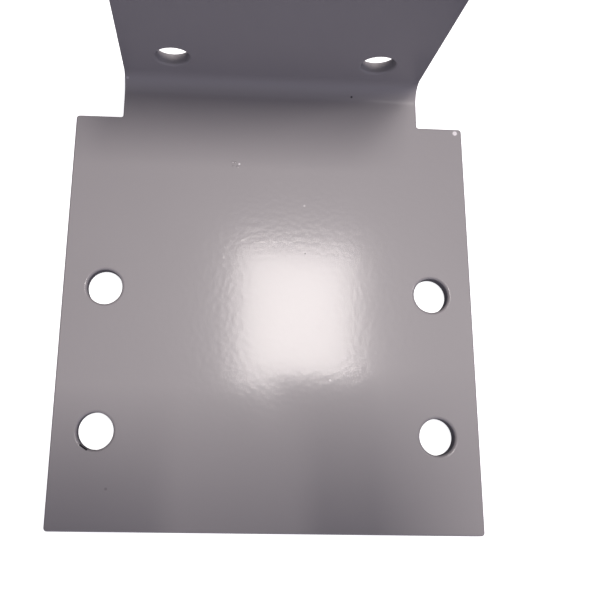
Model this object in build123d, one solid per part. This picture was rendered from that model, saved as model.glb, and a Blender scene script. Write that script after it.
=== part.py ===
from build123d import *
import os

# Folded angle bracket, stamped from one flat steel blank: a square base with four holes, and a narrower
# flange with two holes that stands up behind the base's two shoulders.
# Frame: the origin is the centre of the four base holes, on the underside. +X runs across the bracket,
# +Y from the front edge to the flange, and +Z up. The bracket is the same on both sides of X = 0.

# Sheet and fold
sheet = 4.0                    # thickness of the steel
bend_radius = 6.0              # inside radius of the fold
base_width = 125.0
base_length = 125.0            # from the front edge to the shoulders
neck_width = 95.5              # the neck between the shoulders, and the flange
flange_reach = 138.75          # from the front edge to the flange's inside face
flange_height = 125.0          # from the underside to the flange's top edge

# Holes
hole_diameter = 10.5
base_hole_spacing_x = 100.0
base_hole_spacing_y = 42.25
front_hole_margin = 27.25      # from the front edge to the first row
flange_hole_spacing = 64.0
flange_hole_height = 19.0      # from the underside

# Corners of the blank, and its edges
outer_corner_radius = 1.0
shoulder_corner_radius = 0.7
rolled_edge_radius = 0.5       # left by the press round the outline, on the inside of the fold
rolled_rim_radius = 0.8        # the same round the holes, where the punch draws the sheet in more
deburred_edge = 0.25           # a small chamfer, on the outside of the fold

# Places along Y, from the driving dimensions
front_y = -front_hole_margin - base_hole_spacing_y / 2
shoulder_y = front_y + base_length
flange_inside_y = front_y + flange_reach
flange_outside_y = flange_inside_y + sheet
tolerance = 1e-3


# One side of the folded sheet as a line in the YZ plane: along the base, round the fold and up the flange.
def fold_line(base_z, flange_y, radius):
    corners = [(front_y, base_z), (flange_y, base_z), (flange_y, flange_height)]
    return FilletPolyline(*corners, radius=radius)


# The folded sheet at the base's full width.
def folded_strip():
    outside = fold_line(0, flange_outside_y, bend_radius + sheet)
    inside = fold_line(sheet, flange_inside_y, bend_radius)
    front_edge = Line(outside @ 0, inside @ 0)
    top_edge = Line(outside @ 1, inside @ 1)
    section = make_face([outside, inside, front_edge, top_edge])
    return extrude(Plane.YZ * section, amount=base_width / 2, both=True)


# The blank's outline from above: the base, its two shoulders, and the neck that runs back to the flange.
def outline_prism():
    right_half = [
        (base_width / 2, front_y, outer_corner_radius),
        (base_width / 2, shoulder_y, outer_corner_radius),
        (neck_width / 2, shoulder_y, shoulder_corner_radius),
        (neck_width / 2, flange_outside_y + sheet, 0),
    ]
    left_half = [(-x, y, radius) for x, y, radius in reversed(right_half)]
    corners = right_half + left_half
    points = [(x, y) for x, y, radius in corners]
    radii = [radius for x, y, radius in corners]
    return extrude(make_face(FilletPolyline(*points, radius=radii, close=True)), amount=flange_height)


# Round punches, long enough to pass through the base and the flange.
def hole_punches():
    punch = Cylinder(hole_diameter / 2, 4 * sheet)
    base_pattern = GridLocations(base_hole_spacing_x, base_hole_spacing_y, 2, 2)
    flange_pattern = GridLocations(flange_hole_spacing, 0, 2, 1)
    flange_plane = Plane.XZ * Pos(0, flange_hole_height, -flange_inside_y - sheet / 2)
    base_punches = [Pos(0, 0, sheet / 2) * place * punch for place in base_pattern]
    flange_punches = [flange_plane * place * punch for place in flange_pattern]
    return base_punches + flange_punches


# The three faces that make up one side of the folded sheet: the base's, the fold's and the flange's.
def sheet_side(solid, base_z, flange_y, radius):
    base_face = [f for f in solid.faces().filter_by(Plane.XY) if abs(f.center().Z - base_z) < tolerance]
    flange_face = [f for f in solid.faces().filter_by(Plane.XZ) if abs(f.center().Y - flange_y) < tolerance]
    folds = solid.faces().filter_by(GeomType.CYLINDER).filter_by(lambda f: abs(f.radius - radius) < tolerance)
    return base_face + flange_face + list(folds)


# Every edge round a sheet side and its holes. The seams that two of its faces share are left out.
def rim_edges(faces):
    edges = [edge for face in faces for edge in face.edges()]
    return [edge for edge in edges if edges.count(edge) == 1]


# The edges among them that go round a hole.
def hole_rims(edges):
    circles = [edge for edge in edges if edge.geom_type == GeomType.CIRCLE]
    return [edge for edge in circles if abs(edge.radius - hole_diameter / 2) < tolerance]


def stamped_bracket():
    solid = folded_strip() & outline_prism()
    top_corners = solid.edges().filter_by(Axis.Y).group_by(Axis.Z)[-1]
    solid = fillet(top_corners, radius=outer_corner_radius)
    inside = sheet_side(solid, sheet, flange_inside_y, bend_radius)
    solid = fillet(rim_edges(inside), radius=rolled_edge_radius)
    solid = solid - hole_punches()
    inside = sheet_side(solid, sheet, flange_inside_y, bend_radius)
    solid = fillet(hole_rims(rim_edges(inside)), radius=rolled_rim_radius)
    outside = sheet_side(solid, 0, flange_outside_y, bend_radius + sheet)
    return chamfer(rim_edges(outside), length=deburred_edge)


bracket = stamped_bracket()
os.makedirs("parts", exist_ok=True)
export_step(bracket, "parts/bracket.step")
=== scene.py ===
# Angle bracket, stamped and folded from 4 mm sheet steel, then powder coated grey.
from math import pi, radians
import bpy
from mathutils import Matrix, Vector

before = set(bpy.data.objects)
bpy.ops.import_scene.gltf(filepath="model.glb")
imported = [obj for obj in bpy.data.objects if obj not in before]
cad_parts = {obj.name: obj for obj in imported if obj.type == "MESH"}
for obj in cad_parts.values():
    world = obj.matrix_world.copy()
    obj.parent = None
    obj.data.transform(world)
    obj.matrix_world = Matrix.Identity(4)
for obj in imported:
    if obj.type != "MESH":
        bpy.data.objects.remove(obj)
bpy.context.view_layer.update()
mm = 0.001
colourA, colourB, mixedColour = 6, 7, 2   # places of the Mix node's colour sockets
print("frame loaded:", sorted(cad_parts))


# A point given in millimetres becomes one in metres
def atMm(point):
    return Vector(point) * mm


# An sRGB hex colour becomes the linear RGBA that shaders and lights read
def fromHex(code):
    channels = [int(code[i:i + 2], 16) / 255 for i in (1, 3, 5)]
    linear = [c / 12.92 if c <= 0.04045 else ((c + 0.055) / 1.055) ** 2.4 for c in channels]
    return (*linear, 1.0)


# Adds one node: settings are its own options, and inputs are values, or sockets to link from
def addNode(tree, kind, inputs=None, **settings):
    node = tree.nodes.new(kind)
    for name, value in settings.items():
        setattr(node, name, value)
    for name, value in (inputs or {}).items():
        if isinstance(value, bpy.types.NodeSocket):
            tree.links.new(value, node.inputs[name])
        else:
            node.inputs[name].default_value = value
    return node


def newMaterial(name):
    material = bpy.data.materials.new(name)
    material.use_nodes = True
    material.node_tree.nodes.clear()
    return material, material.node_tree


# Adds one object to the scene, made from a mesh, a lamp or a camera
def addObject(name, data):
    thing = bpy.data.objects.new(name, data)
    bpy.context.scene.collection.objects.link(thing)
    return thing


# Semi-gloss polyester powder coat, sprayed dry and baked: the powder flows out into a hard skin about
# 80 microns thick, whose fine ripple, the orange peel, breaks up the edges of what it mirrors.
coat = {
    "colour": "#9a9698",
    "paleColour": "#9d999b",       # where the film is a little thicker
    "cloudMm": 22.0,               # size of the slow change in tone
    "cloudDetail": 3.0,
    "roughness": 0.47,
    "ior": 1.5,
    "skinWeight": 0.275,
    "skinRoughness": 0.122,
    "peelMm": 1.5,                 # distance between ripples
    "peelHeightMm": 0.0142,
    "peelDetail": 0.5,
    "grainMm": 0.35,               # powder grains are nearer 0.05: these are coarse enough to show
    "grainHeightMm": 0.0006,
    "grainDetail": 2.0,
}

# Small faults in the film. Dust trapped while it was wet makes a nib here and there, one of them beside a few
# raised pips. Each nib is painted near white, a painted highlight for the light it catches, and the spot at
# the back right corner of the base is a painted glint on the thick film at the corner. Burnt grains of powder
# are dark specks. Each spot is its X, Y, Z and radius in mm, and its strength. The nick is a short score
# beside a hole, down to the black scale of the steel.
faults = {
    "nibAndCornerGlints": (
        (-10.1, 61.9, 4.0, 0.35, 0.95),
        (18.3, -5.3, 4.0, 0.38, 0.45),
        (10.7, 48.7, 4.0, 0.35, 0.4),
        (-46.8, 89.2, 6.4, 0.5, 0.35),
        (60.3, 75.2, 4.0, 0.8, 1.0),
    ),
    # near white of the painted highlights on each dust nib and of the painted glint at the corner
    "glintColour": "#f4f0f2",
    "pips": (
        (-11.3, 62.4, 4.0, 0.4, 1.0),
        (-10.7, 61.0, 4.0, 0.4, 1.0),
        (-12.3, 62.6, 4.0, 0.35, 1.0),
        (-12.0, 61.2, 4.0, 0.35, 1.0),
    ),
    "pipHeightMm": 0.05,
    "specks": (
        (26.3, 86.5, 4.4, 0.4, 0.85),
        (10.9, 33.2, 4.0, 0.22, 0.8),
        (-45.9, -36.9, 4.0, 0.45, 0.3),
    ),
    "nickFromMm": (-53.9, -25.1, 3.8),
    "nickToMm": (-52.15, -26.25, 3.8),
    "nickRadiusMm": 0.38,
    "nickSpots": 5,                # round spots in a row that make up the nick
    "darkColour": "#120f11",
    "fadeFrom": 0.6,               # a spot fades away between these shares of its radius
    "fadeTo": 1.2,
}


def nickSpots():
    start, end = Vector(faults["nickFromMm"]), Vector(faults["nickToMm"])
    count = faults["nickSpots"]
    places = [start.lerp(end, i / (count - 1)) for i in range(count)]
    return tuple((*place, faults["nickRadiusMm"], 1.0) for place in places)


# How strongly each point of the surface belongs to one of a set of round spots
def spotMask(tree, place, spots):
    masks = []
    for x, y, z, radius, strength in spots:
        gap = addNode(tree, "ShaderNodeVectorMath", {0: place, 1: atMm((x, y, z))}, operation="DISTANCE")
        mask = addNode(tree, "ShaderNodeMapRange", {
            "Value": gap.outputs["Value"],
            "From Min": faults["fadeTo"] * radius * mm,
            "From Max": faults["fadeFrom"] * radius * mm,
            "To Max": strength,
        }, interpolation_type="SMOOTHSTEP")
        masks.append(mask.outputs["Result"])
    whole = masks[0]
    for mask in masks[1:]:
        whole = addNode(tree, "ShaderNodeMath", {0: whole, 1: mask}, operation="MAXIMUM").outputs["Value"]
    return whole


def powderCoat():
    material, tree = newMaterial("powder coated steel, semi-gloss grey")
    place = addNode(tree, "ShaderNodeTexCoord").outputs["Object"]
    # painted highlights: where each dust nib and the back right corner of the base catch the light
    pale = spotMask(tree, place, faults["nibAndCornerGlints"])
    raised = spotMask(tree, place, faults["pips"])
    dark = spotMask(tree, place, faults["specks"] + nickSpots())

    # Noise of three sizes: slow clouds of tone, the ripple of the orange peel and the grain of the powder
    noise = {}
    for size in ("cloud", "peel", "grain"):
        texture = addNode(tree, "ShaderNodeTexNoise", {
            "Vector": place,
            "Scale": 1 / (coat[size + "Mm"] * mm),
            "Detail": coat[size + "Detail"],
        })
        noise[size] = texture.outputs["Fac"]

    tone = addNode(tree, "ShaderNodeMix", {
        "Factor": noise["cloud"],
        colourA: fromHex(coat["colour"]),
        colourB: fromHex(coat["paleColour"]),
    }, data_type="RGBA")
    specked = addNode(tree, "ShaderNodeMix", {
        "Factor": dark,
        colourA: tone.outputs[mixedColour],
        colourB: fromHex(faults["darkColour"]),
    }, data_type="RGBA")
    # paints the nib highlights and the corner glint near white over the coat's colour
    glintPainted = addNode(tree, "ShaderNodeMix", {
        "Factor": pale,
        colourA: specked.outputs[mixedColour],
        colourB: fromHex(faults["glintColour"]),
    }, data_type="RGBA")

    fine = addNode(tree, "ShaderNodeBump", {
        "Height": noise["grain"],
        "Distance": coat["grainHeightMm"] * mm,
    })
    ripple = addNode(tree, "ShaderNodeBump", {
        "Height": noise["peel"],
        "Distance": coat["peelHeightMm"] * mm,
        "Normal": fine.outputs["Normal"],
    })
    relief = addNode(tree, "ShaderNodeBump", {
        "Height": raised,
        "Distance": faults["pipHeightMm"] * mm,
        "Normal": ripple.outputs["Normal"],
    })

    # The clear skin is missing where the film is burnt or broken
    skin = addNode(tree, "ShaderNodeMapRange", {"Value": dark, "To Min": coat["skinWeight"], "To Max": 0.0})
    surface = addNode(tree, "ShaderNodeBsdfPrincipled", {
        "Base Color": glintPainted.outputs[mixedColour],
        "Roughness": coat["roughness"],
        "IOR": coat["ior"],
        "Coat Weight": skin.outputs["Result"],
        "Coat Roughness": coat["skinRoughness"],
        "Normal": relief.outputs["Normal"],
        "Coat Normal": relief.outputs["Normal"],
    })
    addNode(tree, "ShaderNodeOutputMaterial", {"Surface": surface.outputs["BSDF"]})
    return material


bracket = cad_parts["bracket"]
bracket.data.materials.clear()
bracket.data.materials.append(powderCoat())
print("powder coat made")


# A white acrylic table top with four white screens round it. They are lit softly from behind, so that shadows
# on them stay faint, and only the camera sees them: their glow and their mirror image stay off the bracket.
table = {
    "colour": "#f4f4f4",
    "roughness": 0.6,
    "glow": 0.95,
    "halfWidthMm": 4000.0,
    "screenHeightMm": 8000.0,
}


def whiteTable():
    material, tree = newMaterial("white acrylic, lit from behind")
    surface = addNode(tree, "ShaderNodeBsdfPrincipled", {
        "Base Color": fromHex(table["colour"]),
        "Roughness": table["roughness"],
        "Emission Color": fromHex(table["colour"]),
        "Emission Strength": table["glow"],
    })
    addNode(tree, "ShaderNodeOutputMaterial", {"Surface": surface.outputs["BSDF"]})

    half = table["halfWidthMm"]
    square = (-half, -half), (half, -half), (half, half), (-half, half)
    corners = [atMm((x, y, z)) for z in (0, table["screenHeightMm"]) for x, y in square]
    screens = [(i, (i + 1) % 4, (i + 1) % 4 + 4, i + 4) for i in range(4)]
    mesh = bpy.data.meshes.new("white table and screens")
    mesh.from_pydata(corners, [], [(0, 1, 2, 3)] + screens)
    mesh.materials.append(material)
    top = addObject("white table and screens", mesh)
    top.visible_diffuse = False
    top.visible_glossy = False
    top.visible_shadow = False


whiteTable()
print("white table set")


# Two softboxes face straight down, high behind the flange. The mirror image of the large one lies on the
# base, and the small one, far to the right, only softens the large one's shadow.
softboxes = {
    "large softbox": {
        "placeMm": (546.8, 729.8, 4500.0),
        "sizeMm": (756.6, 892.8),
        "radiance": 51.0,
        "colour": "#fff8f5",
    },
    "small softbox": {
        "placeMm": (2177.0, 669.0, 4500.0),
        "sizeMm": (513.0, 513.0),
        "radiance": 25.0,
        "colour": "#fff8f5",
    },
}


def hangSoftbox(name, box):
    panel = bpy.data.lights.new(name, "AREA")
    panel.shape = "RECTANGLE"
    panel.size, panel.size_y = (side * mm for side in box["sizeMm"])
    panel.color = fromHex(box["colour"])[:3]
    panel.energy = box["radiance"] * pi * panel.size * panel.size_y   # in watts
    addObject(name, panel).location = atMm(box["placeMm"])


# The rest of the room, as a glow from all round that fades below the level of the table
room = {
    "overheadColour": "#f0eaf2",
    "horizonColour": "#e2e3ff",
    "glow": 0.37,
    "slope": (0.16, -0.23, 0.0),   # how the glow changes along X, Y and Z: it is brightest in front
    "lowGlow": 0.04,               # straight down
    "lowBelow": -0.45,             # Z of the direction below which the glow is lowest
    "fullAbove": 0.1,              # and above which it is full
}


def paleRoom():
    world = bpy.data.worlds.new("pale room")
    world.use_nodes = True
    tree = world.node_tree
    tree.nodes.clear()
    direction = addNode(tree, "ShaderNodeTexCoord").outputs["Generated"]
    height = addNode(tree, "ShaderNodeSeparateXYZ", {"Vector": direction}).outputs["Z"]
    slope = addNode(tree, "ShaderNodeVectorMath", {0: direction, 1: room["slope"]}, operation="DOT_PRODUCT")
    wall = addNode(tree, "ShaderNodeMath", {0: slope.outputs["Value"], 1: room["glow"]}, operation="ADD")
    glow = addNode(tree, "ShaderNodeMapRange", {
        "Value": height,
        "From Min": room["lowBelow"],
        "From Max": room["fullAbove"],
        "To Min": room["lowGlow"],
        "To Max": wall.outputs["Value"],
    })
    tone = addNode(tree, "ShaderNodeMix", {
        "Factor": height,
        colourA: fromHex(room["horizonColour"]),
        colourB: fromHex(room["overheadColour"]),
    }, data_type="RGBA")
    air = addNode(tree, "ShaderNodeBackground", {
        "Color": tone.outputs[mixedColour],
        "Strength": glow.outputs["Result"],
    })
    addNode(tree, "ShaderNodeOutputWorld", {"Surface": air.outputs["Background"]})
    bpy.context.scene.world = world


# Two level cards of dull black paper keep the large softbox off the front of the base, as the camera's own
# body does. The camera doesn't see them.
cards = {
    "colour": "#0c0c0c",
    "roughness": 0.9,
    "over the lens": {"centreMm": (-19.4, -12.6, 238.3), "sizeMm": (71.7, 39.6)},
    "beside the lens": {"centreMm": (50.5, -10.7, 238.3), "sizeMm": (53.3, 48.9)},
}


def blackCards():
    material, tree = newMaterial("black card")
    surface = addNode(tree, "ShaderNodeBsdfPrincipled", {
        "Base Color": fromHex(cards["colour"]),
        "Roughness": cards["roughness"],
    })
    addNode(tree, "ShaderNodeOutputMaterial", {"Surface": surface.outputs["BSDF"]})
    for place in ("over the lens", "beside the lens"):
        x, y, z = cards[place]["centreMm"]
        across, along = (side / 2 for side in cards[place]["sizeMm"])
        square = (-across, -along), (across, -along), (across, along), (-across, along)
        corners = [atMm((x + i, y + j, z)) for i, j in square]
        name = "black card " + place
        mesh = bpy.data.meshes.new(name)
        mesh.from_pydata(corners, [], [(0, 1, 2, 3)])
        mesh.materials.append(material)
        card = addObject(name, mesh)
        card.visible_camera = False


for name, box in softboxes.items():
    hangSoftbox(name, box)
paleRoom()
blackCards()
bpy.context.scene.view_settings.view_transform = "Standard"
print("lights made")


# The camera looks steeply down at the base from in front. Its picture is cropped off-centre, hence the shift
camera = {
    "placeMm": (-18.64, -21.36, 228.8),
    "turnDegrees": (14.770, -3.233, 0.995),   # about X, Y and Z, from looking straight down
    "lensMm": 44.98,
    "sensorMm": 36.0,
    "shift": (0.0794, -0.1063),
    "nearMm": 10.0,                # what is nearer than this doesn't show
}


def placeCamera():
    data = bpy.data.cameras.new("camera")
    data.sensor_width = camera["sensorMm"]
    data.lens = camera["lensMm"]
    data.shift_x, data.shift_y = camera["shift"]
    data.clip_start = camera["nearMm"] * mm
    eye = addObject("camera", data)
    eye.location = atMm(camera["placeMm"])
    eye.rotation_euler = [radians(angle) for angle in camera["turnDegrees"]]
    bpy.context.scene.camera = eye


placeCamera()
print("camera placed")
